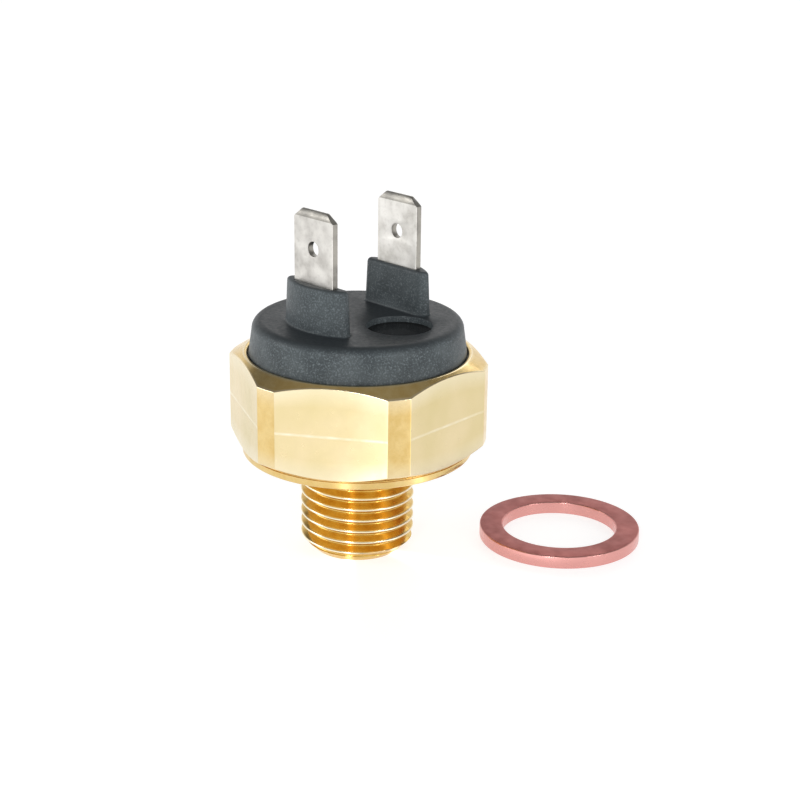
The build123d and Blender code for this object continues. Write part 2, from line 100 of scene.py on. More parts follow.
# %% A camera that looks at the switch from above its left tab
CAMERA_AZIMUTH = radians(45.5)
CAMERA_ELEVATION = radians(19.4)
CAMERA_ROLL = radians(0.73)
CAMERA_DISTANCE = 203.8 * MM
CAMERA_LENS = 79.0
AIM_RIGHT = 4.86 * MM
AIM_UP = 5.55 * MM

towards = Vector((sin(CAMERA_AZIMUTH) * cos(CAMERA_ELEVATION),
                  -cos(CAMERA_AZIMUTH) * cos(CAMERA_ELEVATION), sin(CAMERA_ELEVATION)))
across = Vector((cos(CAMERA_AZIMUTH), sin(CAMERA_AZIMUTH), 0))
upward = towards.cross(across)
aim = across * AIM_RIGHT + upward * AIM_UP
eye = aim + towards * CAMERA_DISTANCE
rolled_across = across * cos(CAMERA_ROLL) + upward * sin(CAMERA_ROLL)
rolled_up = upward * cos(CAMERA_ROLL) - across * sin(CAMERA_ROLL)

camera = bpy.data.objects.new("camera", bpy.data.cameras.new("camera"))
bpy.context.scene.collection.objects.link(camera)
camera.matrix_world = Matrix((
    (rolled_across.x, rolled_up.x, towards.x, eye.x),
    (rolled_across.y, rolled_up.y, towards.y, eye.y),
    (rolled_across.z, rolled_up.z, towards.z, eye.z),
    (0, 0, 0, 1)))
camera.data.lens = CAMERA_LENS
camera.data.clip_start = 5 * MM
bpy.context.scene.camera = camera
bpy.context.scene.view_settings.view_transform = "Standard"
print("camera", [round(v, 3) for v in eye])

# %% [markdown]
# A soft box is an area light on an arm: it is placed by a direction and a distance and always faces
# the switch. One small function serves for all of them.

# %% Soft boxes


def soft_box(name, azimuth, elevation, distance, size, power, tint=(1, 1, 1)):
    """An area light that faces the switch from one direction, in degrees and metres."""
    light = bpy.data.lights.new(name, "AREA")
    light.shape = "RECTANGLE"
    light.size, light.size_y = size
    light.energy = power
    light.color = tint
    lamp = bpy.data.objects.new(name, light)
    bpy.context.scene.collection.objects.link(lamp)
    a, e = CAMERA_AZIMUTH + radians(azimuth), radians(elevation)
    back = Vector((sin(a) * cos(e), -cos(a) * cos(e), sin(e)))
    lamp.location = back * distance
    lamp.rotation_euler = back.to_track_quat("Z", "Y").to_euler()
    return lamp


soft_box("key_box", -14, 26, 0.55, (0.05, 0.32), 0.7)
soft_box("right_box", 52, 22, 0.55, (0.06, 0.30), 0.4)
soft_box("left_box", -88, 24, 0.60, (0.30, 0.30), 0.8)
soft_box("back_box", 165, 36, 0.70, (0.40, 0.30), 0.5)

# %% [markdown]
# The room itself is a sky that is white at eye level and grey overhead. A colour ramp on the height
# of the direction does it.

# %% The room
WALL_WHITE = 1.0
UPPER_GREY = 0.16
CEILING_GREY = 0.30

world = bpy.data.worlds.new("room")
bpy.context.scene.world = world
world.use_nodes = True
tree = world.node_tree
background = tree.nodes["Background"]
place = tree.nodes.new("ShaderNodeTexCoord")
height = tree.nodes.new("ShaderNodeSeparateXYZ")
ramp = tree.nodes.new("ShaderNodeValToRGB")
tree.links.new(place.outputs["Generated"], height.inputs[0])
tree.links.new(height.outputs["Z"], ramp.inputs[0])
tree.links.new(ramp.outputs["Color"], background.inputs["Color"])
ramp.color_ramp.interpolation = "EASE"
ramp.color_ramp.elements.new(0.58)
ROOM_STEPS = ((0.28, WALL_WHITE), (0.58, UPPER_GREY), (1.0, CEILING_GREY))
for element, (position, grey) in zip(ramp.color_ramp.elements, ROOM_STEPS):
    element.position = position
    element.color = (grey, grey, grey, 1)
background.inputs["Strength"].default_value = 1.0
print("room: wall", WALL_WHITE, "ceiling", CEILING_GREY)

# %% [markdown]
# ## Small helpers for meshes
# Three ways of making a surface cover the whole job. `ring_mesh` sweeps a profile round an axis and
# lets the profile change with the angle, which a plain lathe can't do. `fill` closes a flat region
# that has holes in it. `bridge` joins two loops with the same number of points.

# %% Mesh helpers
SMOOTH_ANGLE = radians(32)


def finish_mesh(name, bm, materials, body, nodes):
    """Turns a bmesh in millimetres into a piece in metres that rides on a body."""
    bmesh.ops.remove_doubles(bm, verts=bm.verts, dist=1e-5)
    bmesh.ops.recalc_face_normals(bm, faces=bm.faces)
    bmesh.ops.scale(bm, vec=(MM, MM, MM), verts=bm.verts)
    mesh = bpy.data.meshes.new(name)
    bm.to_mesh(mesh)
    bm.free()
    mesh.shade_smooth()
    mesh.set_sharp_from_angle(angle=SMOOTH_ANGLE)
    for material in materials:
        mesh.materials.append(material)
    piece = bpy.data.objects.new(name, mesh)
    bpy.context.scene.collection.objects.link(piece)
    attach(piece, body)
    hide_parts(*nodes)
    print(name, len(mesh.vertices), "points", len(mesh.polygons), "faces")
    return piece


def ring_mesh(bm, angles, column, centre=(0, 0)):
    """Sweeps closed (radius, height) columns round an upright axis; column(angle) gives one."""
    rings = []
    for angle in angles:
        c, s = cos(angle), sin(angle)
        rings.append([bm.verts.new((centre[0] + r * c, centre[1] + r * s, z)) for r, z in column(angle)])
    faces = []
    rows = len(rings[0])
    for j, ring in enumerate(rings):
        following = rings[(j + 1) % len(rings)]
        for i in range(rows):
            k = (i + 1) % rows
            faces.append(bm.faces.new((ring[i], following[i], following[k], ring[k])))
    return faces


def bridge(bm, lower, upper, material=0):
    """Quads between two closed loops with the same number of points."""
    for i in range(len(lower)):
        k = (i + 1) % len(lower)
        face = bm.faces.new((lower[i], lower[k], upper[k], upper[i]))
        face.material_index = material


def loop_at(bm, outline, z):
    """A loop of points at one height."""
    return [bm.verts.new((x, y, z)) for x, y in outline]


def inside(point, loop):
    """Whether a point lies inside a closed outline, by counting the sides it is left of."""
    odd = False
    for (ax, ay), (bx, by) in zip(loop, loop[1:] + loop[:1]):
        if (ay > point[1]) != (by > point[1]) and point[0] < ax + (bx - ax) * (point[1] - ay) / (by - ay):
            odd = not odd
    return odd


def fill(bm, *loops, material=0):
    """Fills a flat region between an outer loop and any holes, with well-shaped triangles."""
    points = [v for loop in loops for v in loop]
    spans = [max(v.co[k] for v in points) - min(v.co[k] for v in points) for k in range(3)]
    u, w = [k for k in range(3) if k != spans.index(min(spans))]
    flat_loops = [[(v.co[u], v.co[w]) for v in loop] for loop in loops]
    sides, first = [], 0
    for loop in loops:
        sides += [(first + i, first + (i + 1) % len(loop)) for i in range(len(loop))]
        first += len(loop)
    flat_points = [Vector(p) for loop in flat_loops for p in loop]
    made, _, triangles, origins, _, _ = delaunay_2d_cdt(flat_points, sides, [], 0, 1e-6)
    for corners in triangles:
        middle = [sum(made[i][k] for i in corners) / 3 for k in (0, 1)]
        if inside(middle, flat_loops[0]) and not any(inside(middle, hole) for hole in flat_loops[1:]):
            face = bm.faces.new([points[origins[i][0]] for i in corners])
            face.material_index = material


def arc(cx, cy, radius, start, end, steps):
    """Points along an arc, angles in degrees, both ends included."""
    sweep = [radians(start + (end - start) * i / steps) for i in range(steps + 1)]
    return [(cx + radius * cos(a), cy + radius * sin(a)) for a in sweep]


def circle(cx, cy, radius, steps=96):
    """A full circle of points."""
    return arc(cx, cy, radius, 0, 360 * (steps - 1) / steps, steps - 1)


print("mesh helpers ready")

# %% [markdown]
# ## Small helpers for finishes
# Every finish is a Principled shader with noise behind it. The same few nodes come back each time: a
# noise at some scale, a ramp that turns it into a range of values, and a bump. `Finish` keeps the
# node tree in one hand so that a material reads as a short recipe. Scales are given as the size of
# a grain in millimetres, which is easier to judge than a texture's scale.

# %% The finish builder


class Finish:
    """A procedural material, built up a few nodes at a time."""

    def __init__(self, name, metallic=0.0):
        self.material = bpy.data.materials.new(name)
        self.material.use_nodes = True
        self.tree = self.material.node_tree
        self.shader = self.tree.nodes["Principled BSDF"]
        self.shader.inputs["Metallic"].default_value = metallic
        self.place = self.node("ShaderNodeTexCoord").outputs["Object"]
        self.last_bump = None

    def node(self, kind, **values):
        made = self.tree.nodes.new(kind)
        for key, value in values.items():
            setattr(made, key, value)
        return made

    def link(self, source, target):
        self.tree.links.new(source, target)

    def stretched(self, x, y, z):
        """Object coordinates squeezed along each axis; larger numbers mean finer detail."""
        mapping = self.node("ShaderNodeMapping")
        mapping.inputs["Scale"].default_value = (x, y, z)
        self.link(self.place, mapping.inputs["Vector"])
        return mapping.outputs["Vector"]

    def noise(self, grain_mm, detail=3.0, rough=0.55, vector=None):
        """Noise whose blotches are about grain_mm across."""
        made = self.node("ShaderNodeTexNoise")
        made.inputs["Scale"].default_value = 1 / (grain_mm * MM)
        made.inputs["Detail"].default_value = detail
        made.inputs["Roughness"].default_value = rough
        self.link(vector or self.place, made.inputs["Vector"])
        return made.outputs["Fac"]

    def lathe_vector(self, ring_mm, turn_mm):
        """Coordinates that follow turned rings about Z: long round the axis, short across it."""
        parts = self.node("ShaderNodeSeparateXYZ")
        self.link(self.place, parts.inputs[0])
        squares = [self.maths("MULTIPLY", parts.outputs[i], parts.outputs[i]) for i in (0, 1)]
        radius = self.maths("SQRT", self.maths("ADD", squares[0], squares[1]))
        angle = self.maths("ARCTAN2", parts.outputs[1], parts.outputs[0])
        joined = self.node("ShaderNodeCombineXYZ")
        self.link(self.maths("MULTIPLY", radius, 1 / (ring_mm * MM)), joined.inputs[0])
        self.link(self.maths("MULTIPLY", parts.outputs[2], 1 / (ring_mm * MM)), joined.inputs[1])
        self.link(self.maths("MULTIPLY", self.maths("SINE", angle), 1 / turn_mm), joined.inputs[2])
        return joined.outputs[0]

    def maths(self, operation, first, second=None):
        made = self.node("ShaderNodeMath", operation=operation)
        for value, socket in zip((first, second), made.inputs):
            if isinstance(value, (int, float)):
                socket.default_value = value
            elif value is not None:
                self.link(value, socket)
        return made.outputs[0]

    def spread(self, value, low, high, start=0.3, end=0.7):
        """Maps a value from start..end onto low..high."""
        made = self.node("ShaderNodeMapRange")
        made.inputs["From Min"].default_value = start
        made.inputs["From Max"].default_value = end
        made.inputs["To Min"].default_value = low
        made.inputs["To Max"].default_value = high
        self.link(value, made.inputs["Value"])
        return made.outputs[0]

    def ramp(self, value, *stops):
        """A colour ramp through (position, colour) stops."""
        made = self.node("ShaderNodeValToRGB")
        elements = made.color_ramp.elements
        while len(elements) < len(stops):
            elements.new(0.5)
        for element, (position, colour) in zip(elements, stops):
            element.position = position
            element.color = (*colour, 1)
        self.link(value, made.inputs[0])
        return made.outputs["Color"]

    def mix(self, amount, first, second, blend="MIX"):
        """Mixes two colours."""
        made = self.node("ShaderNodeMix", data_type="RGBA", blend_type=blend)
        self.put(amount, made.inputs["Factor"])
        self.put(first, made.inputs[6])
        self.put(second, made.inputs[7])
        return made.outputs[2]

    def put(self, value, socket):
        """Sets a socket to a constant or links it."""
        if isinstance(value, (int, float)):
            socket.default_value = value
        elif isinstance(value, tuple):
            socket.default_value = (*value, 1)
        else:
            self.link(value, socket)

    def bump(self, value, depth_mm, strength=1.0):
        """Adds relief; several calls add up."""
        made = self.node("ShaderNodeBump")
        made.inputs["Distance"].default_value = depth_mm * MM
        made.inputs["Strength"].default_value = strength
        self.link(value, made.inputs["Height"])
        if self.last_bump:
            self.link(self.last_bump, made.inputs["Normal"])
        self.last_bump = made.outputs["Normal"]
        self.link(self.last_bump, self.shader.inputs["Normal"])

    def colour(self, value):
        self.put(value, self.shader.inputs["Base Color"])

    def roughness(self, value):
        self.put(value, self.shader.inputs["Roughness"])

    def level_line(self, height_mm, wide_mm):
        """A soft horizontal line at a height, 1 at its middle and 0 outside."""
        parts = self.node("ShaderNodeSeparateXYZ")
        self.link(self.place, parts.inputs[0])
        away = self.maths("ABSOLUTE", self.maths("SUBTRACT", parts.outputs[2], height_mm * MM))
        return self.spread(away, 1, 0, 0, wide_mm * MM)

    def facing_up(self):
        """1 where the surface faces up, 0 where it is upright or faces down."""
        parts = self.node("ShaderNodeSeparateXYZ")
        self.link(self.node("ShaderNodeNewGeometry").outputs["Normal"], parts.inputs[0])
        return self.spread(parts.outputs[2], 0, 1, 0.35, 0.95)

    def mark(self, name):
        """A number stored on the mesh, such as how near a point is to an edge."""
        made = self.node("ShaderNodeAttribute", attribute_name=name)
        return made.outputs["Fac"]


print("finish builder ready")

# %% [markdown]
# ## The brass body
# The real body is turned from hexagon bar: the bar's corners are skimmed round, both ends are
# chamfered, the collar and the thread are cut, and last the thin rim is rolled in over the
# black head. A boolean of a prism and a lathe shape would give the outline but no control of
# the edges. Here each column of points is worked out from its angle: how far out the hexagon is at
# that angle decides where the chamfers end, which draws the curved edges on the flats by itself.
# The thread is a true helix, because the same column knows how far round it is.

# %% Sizes of the body's details
COLLAR_HEIGHT = 1.0
COLLAR_RADIUS = 13.3
COLLAR_ROUND = 0.35
GROOVE_DEPTH = 0.13
GROOVE_WIDTH = 0.16
CHAMFER = tan(radians(30))
RIM_CREST = 13.0
RIM_INNER = 12.55
RIM_ROLL = 0.2
BREAK = 0.07                  # broken edge on the hexagon
THREAD_PITCH = 1.337
CREST_ROUND = 0.16
NECK_RADIUS = 5.75
NECK_HEIGHT = 0.45
END_RADIUS = 5.1
ROWS_PER_PITCH = 26
PORT_RADIUS = mounts["pressure_port"]["dims"]["r_mm"]
PORT_EDGE = 0.4


def soft_min(a, b, softness):
    """The smaller of two lengths, with the corner between them slightly rounded."""
    low = min(a, b)
    return low - softness * log(exp((low - a) / softness) + exp((low - b) / softness))


CORNER_SOFT = 0.012           # how softly a flat runs into a turned corner


def hexagon_radius(angle):
    """How far out the turned hexagon stands at an angle."""
    from_flat = (angle - HEX_TURN + pi / 6) % (pi / 3) - pi / 6
    return soft_min(APOTHEM / cos(from_flat), CORNER_RADIUS, CORNER_SOFT)


def thread_radius(offset):
    """Radius of the thread at a height measured from a crest, with rounded crest and root."""
    quarter = THREAD_PITCH / 4
    slope = 1 / tan(radians(27.5))
    from_crest = abs((offset + THREAD_PITCH / 2) % THREAD_PITCH - THREAD_PITCH / 2)
    round_end = CREST_ROUND * cos(radians(27.5))
    middle = THREAD_RADIUS - 0.856 / 2
    if from_crest < round_end:
        centre = middle + (quarter - round_end) * slope - CREST_ROUND * sin(radians(27.5))
        return centre + sqrt(CREST_ROUND ** 2 - from_crest ** 2)
    if from_crest > THREAD_PITCH / 2 - round_end:
        centre = middle - (quarter - round_end) * slope + CREST_ROUND * sin(radians(27.5))
        return centre - sqrt(max(0, CREST_ROUND ** 2 - (THREAD_PITCH / 2 - from_crest) ** 2))
    return middle + (quarter - from_crest) * slope


crest_check = max(thread_radius(0), thread_radius(THREAD_PITCH))
print("thread crest", round(crest_check, 3), "root", round(thread_radius(THREAD_PITCH / 2), 3))

# %% One column of the body


def rounded_edge(before, corner, after, steps=3):
    """Points of a small curve that replaces a sharp corner."""
    points = []
    for i in range(steps + 1):
        t = i / steps
        weights = ((1 - t) ** 2, 2 * t * (1 - t), t ** 2)
        points.append(tuple(sum(w * p[k] for w, p in zip(weights, (before, corner, after))) for k in (0, 1)))
    return points


def between(first, last, count):
    """Points spaced along a straight line, its ends left out."""
    shares = [i / (count + 1) for i in range(1, count + 1)]
    return [tuple(first[k] + (last[k] - first[k]) * share for k in (0, 1)) for share in shares]


def thread_rows(angle):
    """The stub from the neck to the end face."""
    rows = []
    top = -NECK_HEIGHT
    count = int((top - STUB_END) / THREAD_PITCH * ROWS_PER_PITCH)
    for i in range(count + 1):
        z = top + (STUB_END - top) * i / count
        helix = thread_radius(z + THREAD_PITCH * angle / (2 * pi))
        lead_out = NECK_RADIUS + (top - z) * 1.6
        lead_in = END_RADIUS + (z - STUB_END)
        rows.append((min(helix, lead_out, lead_in), z))
    return rows


def body_column(angle):
    """The whole closed section of the body at an angle, from the rim down and back up inside."""
    side = hexagon_radius(angle)
    top = BODY_TOP - (side - RIM_CREST) * CHAMFER
    bottom = COLLAR_HEIGHT + (side - COLLAR_RADIUS) * CHAMFER
    lean, drop = BREAK * cos(radians(30)), BREAK * sin(radians(30))
    rows = [(RIM_INNER, BODY_TOP - RIM_ROLL - 0.25)]
    rows += rounded_edge((RIM_INNER, BODY_TOP - RIM_ROLL), (RIM_INNER + 0.05, BODY_TOP),
                         (RIM_CREST - 0.15, BODY_TOP), 5)
    rows += rounded_edge((RIM_CREST - 0.08, BODY_TOP), (RIM_CREST, BODY_TOP),
                         (RIM_CREST + 0.07, BODY_TOP - 0.04), 3)
    slope_start, slope_end = rows[-1], (side - lean, top + drop)
    rows += between(slope_start, slope_end, 5)
    rows += rounded_edge(slope_end, (side, top), (side, top - BREAK))
    rows += between((side, top - BREAK - 0.03), (side, bottom + BREAK + 0.03), 4)
    rows += rounded_edge((side, bottom + BREAK), (side, bottom), (side - lean, bottom - drop))
    rows += between((side - lean, bottom - drop), (COLLAR_RADIUS, COLLAR_HEIGHT), 2)
    rows += [(COLLAR_RADIUS, COLLAR_HEIGHT), (COLLAR_RADIUS - GROOVE_DEPTH, COLLAR_HEIGHT - 0.03),
             (COLLAR_RADIUS - GROOVE_DEPTH, COLLAR_HEIGHT - GROOVE_WIDTH + 0.03),
             (COLLAR_RADIUS, COLLAR_HEIGHT - GROOVE_WIDTH)]
    rows += [(x, z) for x, z in arc(COLLAR_RADIUS - COLLAR_ROUND, COLLAR_ROUND, COLLAR_ROUND, 0, -90, 6)]
    rows += between((COLLAR_RADIUS - COLLAR_ROUND, 0), (NECK_RADIUS + 0.25, 0), 6)
    rows += [(x, z) for x, z in arc(NECK_RADIUS + 0.2, -0.2, 0.2, 90, 180, 4)]
    rows += thread_rows(angle)
    rows += [(END_RADIUS - 0.05, STUB_END), (PORT_RADIUS + PORT_EDGE, STUB_END),
             (PORT_RADIUS, STUB_END + PORT_EDGE)]
    rows += between((PORT_RADIUS, STUB_END + PORT_EDGE), (PORT_RADIUS, 3.0), 3)
    rows += [(PORT_RADIUS, 3.0), (7.2, 3.0), (7.2, 3.6), (7.9, 3.6), (7.9, 2.5), (9.5, 2.5),
             (9.5, 3.6), (10.6, 3.6), (10.6, 6.6), (12.0, 6.6), (12.0, 8.1), (12.85, 8.1),
             (12.85, 11.35), (RIM_INNER, 11.35)]
    return rows


def body_angles():
    """Even steps round the body, with extra columns at the edges of the flats."""
    steps = {round(radians(0.6 * i), 6) for i in range(600)}
    edge = acos(APOTHEM / CORNER_RADIUS)
    for side in range(6):
        middle = HEX_TURN + side * pi / 3
        for sign in (-1, 1):
            for offset in (-0.25, -0.12, 0, 0.12, 0.25):
                steps.add(round((middle + sign * edge + radians(offset)) % (2 * pi), 6))
    return sorted(steps)


print("columns:", len(body_angles()), "rows:", len(body_column(0)))

# %% [markdown]
# Two finishes share the body. The flats keep the smooth skin of drawn bar, with a few marks along
# its length and some dull patches. Everything cut on the lathe has fine rings round the axis.

# %% Brass finishes
BRASS = (0.72, 0.60, 0.31)
BRASS_DEEP = (0.66, 0.51, 0.22)
BRASS_PALE = (0.82, 0.68, 0.41)
TURNED = (0.79, 0.59, 0.26)
TURNED_DEEP = (0.73, 0.51, 0.19)
# The thread's colours are a deeper gold than the other turned faces: painted shade.
CUT_SHADED = (0.74, 0.50, 0.15)
CUT_DEEP_SHADED = (0.66, 0.40, 0.09)
RUB_HEIGHT = 6.1              # a rubbed line round the middle of the flats


def drawn_brass():
    """Drawn bar: satin, faint marks across the flats, a few tiny pits."""
    finish = Finish("brass_drawn", metallic=1.0)
    cloud = finish.noise(7.0, 2)
    base = finish.ramp(cloud, (0.3, BRASS), (0.7, BRASS_PALE))
    stain = finish.spread(finish.noise(0.7, 4, 0.7), 0, 0.35, 0.62, 0.78)
    worn = finish.mark("edge")
    line = finish.level_line(RUB_HEIGHT, 0.22)
    broken = finish.maths("MULTIPLY", line, finish.spread(finish.noise(1.5, 3), 0.1, 0.9))
    bright = finish.maths("MAXIMUM", worn, broken)
    finish.colour(finish.mix(bright, finish.mix(stain, base, BRASS_DEEP), (0.95, 0.88, 0.70)))
    finish.roughness(finish.spread(finish.noise(0.9, 4, 0.6), 0.16, 0.28))
    lines = finish.noise(0.22, 2, 0.5, finish.stretched(0.04, 0.04, 1.0))
    finish.bump(lines, 0.003, 0.5)
    finish.bump(finish.noise(2.5, 2), 0.02, 0.25)
    pits = finish.spread(finish.noise(0.22, 1), 1, 0, 0.22, 0.28)
    finish.bump(pits, -0.012, 0.5)
    return finish.material


def turned_brass(name, deep, light, ring_mm):
    """Cut on a lathe: brighter, with fine rings and a worn rim; the pale crests are a painted highlight."""
    finish = Finish(name, metallic=1.0)
    cloud = finish.noise(1.6, 5, 0.65)
    base = finish.ramp(cloud, (0.38, deep), (0.62, light))
    # Marked points go pale: wear on the rim, a painted highlight on the thread's crests.
    finish.colour(finish.mix(finish.mark("edge"), base, (0.93, 0.84, 0.62)))
    finish.roughness(finish.spread(finish.noise(0.7, 3), 0.13, 0.26))
    rings = finish.noise(1000.0, 2, 0.6, finish.lathe_vector(ring_mm, 3.0))
    finish.bump(rings, 0.006, 0.6)
    finish.bump(finish.noise(0.25, 3), 0.006, 0.35)
    return finish.material


brass_materials = [drawn_brass(), turned_brass("brass_turned", TURNED_DEEP, TURNED, 0.07),
                   turned_brass("brass_cut", CUT_DEEP_SHADED, CUT_SHADED, 0.05)]
print("brass finishes:", [m.name for m in brass_materials])

# %% Build the body


def mark_edges(piece, wear_and_highlight):
    """Stores on each point a value from 0 to 1 for wear and painted highlight, as the given function says in
    millimetres.
    """
    mark = piece.data.attributes.new("edge", "FLOAT", "POINT")
    for point, value in zip(piece.data.vertices, mark.data):
        value.value = min(max(wear_and_highlight(*(point.co / MM)), 0.0), 1.0)


def body_wear_and_highlight(x, y, z):
    """Wear is on the edges of the flats and on the rolled rim; the thread's crests are made pale as a
    painted highlight.
    """
    out = hypot(x, y)
    if z < -NECK_HEIGHT:
        # Thread crests are marked for a pale colour: a painted highlight.
        return (out - THREAD_RADIUS + 0.10) / 0.09
    side = hexagon_radius(atan2(y, x))
    top = BODY_TOP - (side - RIM_CREST) * CHAMFER
    bottom = COLLAR_HEIGHT + (side - COLLAR_RADIUS) * CHAMFER
    on_side = out > side - 0.12
    near_edge = 1 - min(abs(z - top), abs(z - bottom)) / 0.14 if on_side else 0
    on_rim = 1 - hypot(out - RIM_CREST, z - BODY_TOP) / 0.12
    return 0.8 * max(near_edge, on_rim)


def build_body():
    bm = bmesh.new()
    faces = ring_mesh(bm, body_angles(), body_column)
    for face in faces:
        centre = face.calc_center_median()
        outward = hypot(centre.x, centre.y)
        face.normal_update()
        on_side = outward > APOTHEM - 0.05 and abs(face.normal.z) < 0.05
        # The stub and thread below the collar take the deeper cut finish, a painted shade.
        if centre.z < 0:
            face.material_index = 2
        else:
            face.material_index = 0 if on_side and outward < CORNER_RADIUS - CORNER_SOFT else 1
    piece = finish_mesh("brass_body", bm, brass_materials, "housing", ["hex_body"])
    mark_edges(piece, body_wear_and_highlight)
    return piece


brass_body = build_body()

# %% [markdown]
# ## The black head
# The head is moulded in glass-filled nylon: a drum with a softened edge and two bosses that carry
# the tabs. Its sides lean in a little so that it leaves the mould, and its skin has a fine
# dry grain. It is built from flat outlines stacked into walls, so the slots, the recess and the
# curved foot of each boss all meet the top in clean edges.

# %% Sizes of the head's details
HEAD_TOP = resin_low.z + 1.0
HEAD_RADIUS = 12.5
HEAD_DRAFT = tan(radians(8))
HEAD_EDGE = 1.15
FLANGE_TOP = 11.35
ROOF = HEAD_TOP - 2.35
ROOM_RADIUS = 10.8
BOSS_TOP = head_high.z
BOSS_RADIUS = 8.2
BOSS_HALF = 4.95
BOSS_INNER = 5.2
BOSS_INNER_CORNER = 1.05
BOSS_OUTER_CORNER = 0.35
SMALLEST_CORNER = 0.2
BOSS_DRAFT = tan(radians(2.5))
BOSS_FOOT = 0.28
BOSS_EDGE = 0.42
RECESS = ((resin_low.x + resin_high.x) / 2, (resin_low.y + resin_high.y) / 2)
RECESS_RADIUS = (resin_high.x - resin_low.x) / 2
TAB_Y = -mount_mm("terminal_left").y
TAB_HALF = 3.15
TAB_THICK = 0.8
SLOT_GAP = 0.05


def boss_outline(outset, side):
    """The boss seen from above, grown outwards by outset; side is -1 for the left boss."""
    half, inner, big = BOSS_HALF + outset, BOSS_INNER - outset, BOSS_RADIUS + outset
    ro = max(BOSS_OUTER_CORNER + outset, SMALLEST_CORNER)
    cy = sqrt((big - ro) ** 2 - (half - ro) ** 2)
    ri = min(max(BOSS_INNER_CORNER + outset, SMALLEST_CORNER), cy - inner - 0.02)
    turn = degrees(atan2(cy, half - ro))
    points = arc(half - ro, cy, ro, 0, turn, 8)
    points += arc(0, 0, big, turn, 180 - turn, 40)[1:-1]
    points += arc(ro - half, cy, ro, 180 - turn, 180, 8)
    points += arc(ri - half, inner + ri, ri, 180, 270, 12)
    count = 14
    start, end = ri - half, half - ri
    points += [(start + (end - start) * i / count, inner) for i in range(1, count)]
    points += arc(half - ri, inner + ri, ri, 270, 360, 12)
    return [(side * x, side * y) for x, y in points]


def slot_outline(side, gap=SLOT_GAP):
    """The slot that a tab stands in."""
    w, t = TAB_HALF + gap, TAB_THICK / 2 + gap
    corners = [(-w, -t), (w, -t), (w, t), (-w, t)]
    return [(x, side * TAB_Y + y) for x, y in corners]


print("head: top", round(HEAD_TOP, 2), "bosses to", round(BOSS_TOP, 2), "mm")

# %% [markdown]
# The plastic is almost black with a cold blue cast where it catches light from the side. The pale
# flecks are glass fibre near the skin. They are tiny, so they are a fine noise with only its highest
# peaks kept.

# %% Black plastic


def black_plastic():
    finish = Finish("black_plastic")
    cloud = finish.noise(3.0, 4)
    base = finish.ramp(cloud, (0.35, (0.046, 0.056, 0.061)), (0.65, (0.074, 0.088, 0.094)))
    flecks = finish.spread(finish.noise(0.20, 2, 0.7), 0, 0.6, 0.50, 0.72)
    speckled = finish.mix(flecks, base, (0.20, 0.235, 0.25))
    # The marked edges are painted lighter: part wear, part painted highlight.
    worn = finish.spread(finish.mark("edge"), 0, 0.35, 0.2, 1.0)
    # Faces that look up are painted darker than the sides: a painted shade on the head's top.
    painted_shade_top = finish.mix(finish.facing_up(), speckled, (0.028, 0.034, 0.038))
    finish.colour(finish.mix(worn, painted_shade_top, (0.16, 0.18, 0.19)))
    finish.shader.inputs["Specular IOR Level"].default_value = 0.22
    finish.roughness(finish.spread(finish.noise(0.4, 3), 0.36, 0.50))
    finish.bump(finish.noise(0.16, 3, 0.6), 0.022, 0.6)
    finish.bump(finish.noise(0.9, 3), 0.02, 0.3)
    return finish.material


plastic = black_plastic()
print("finish:", plastic.name)

# %% Build the head


def head_wear_and_highlight(x, y, z):
    """The bosses' top edges and the recess's lip are painted lighter: wear from handling and a painted
    highlight.
    """
    on_boss = 1 - abs(z - BOSS_TOP + 0.1) / 0.25
    lip = 1 - hypot(hypot(x - RECESS[0], y - RECESS[1]) - RECESS_RADIUS, z - HEAD_TOP) / 0.15
    return 0.6 * max(on_boss, lip)


